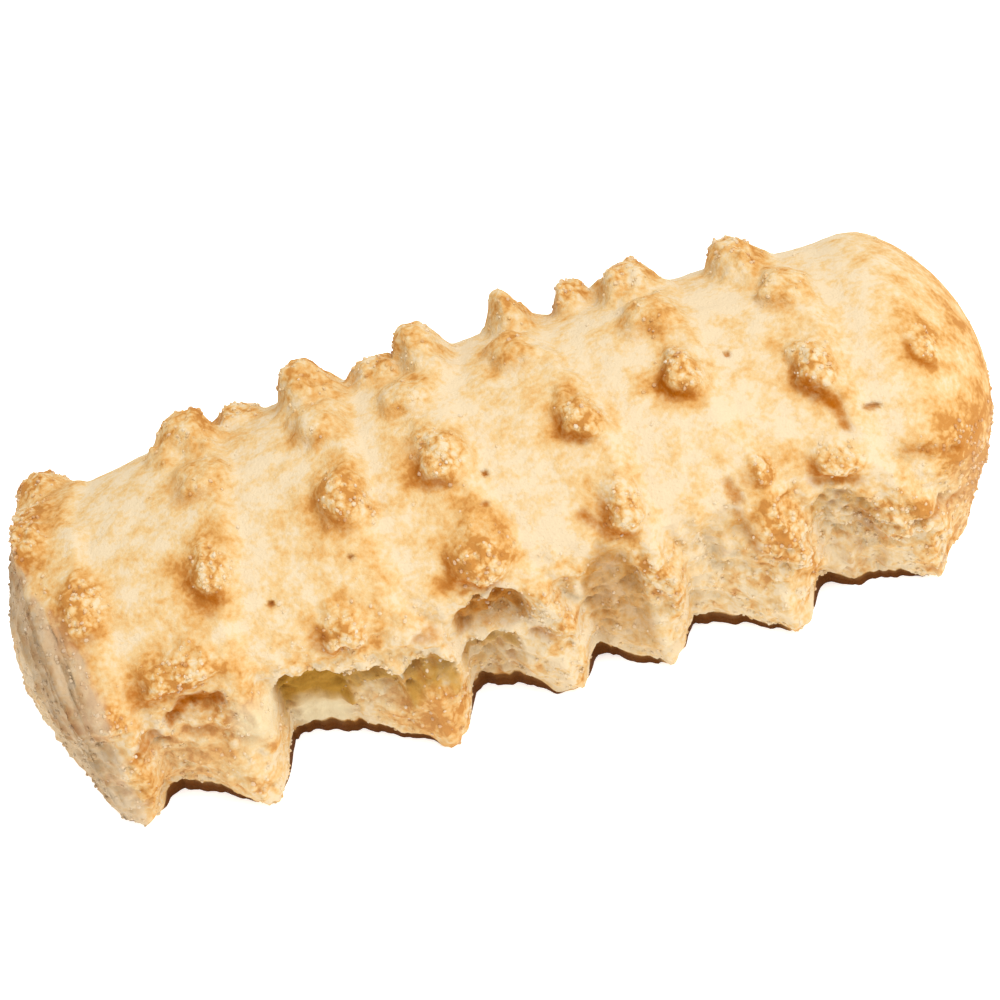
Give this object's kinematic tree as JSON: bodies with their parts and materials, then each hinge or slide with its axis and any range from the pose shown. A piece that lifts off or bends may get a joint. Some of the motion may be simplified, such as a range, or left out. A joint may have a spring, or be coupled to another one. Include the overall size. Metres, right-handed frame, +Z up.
{
  "type": "apple biscuit",
  "caption": "Baked shortcrust biscuit in the shape of a log, round on top and flat underneath, with rings of browned pinched knobs and lobes along its foot.",
  "frame": {"origin": "middle of the flat base, on the surface that the biscuit lies on", "axes": "+X along the log towards its rounder end, +Y to its back, +Z up"},
  "size_m": [0.095, 0.0382, 0.0286],
  "materials": {
    "crust": "dry, matt baked dough, browned on the knobs"
  },
  "bodies": {
    "root": {"biscuit": "crust"}
  },
  "joints": []
}
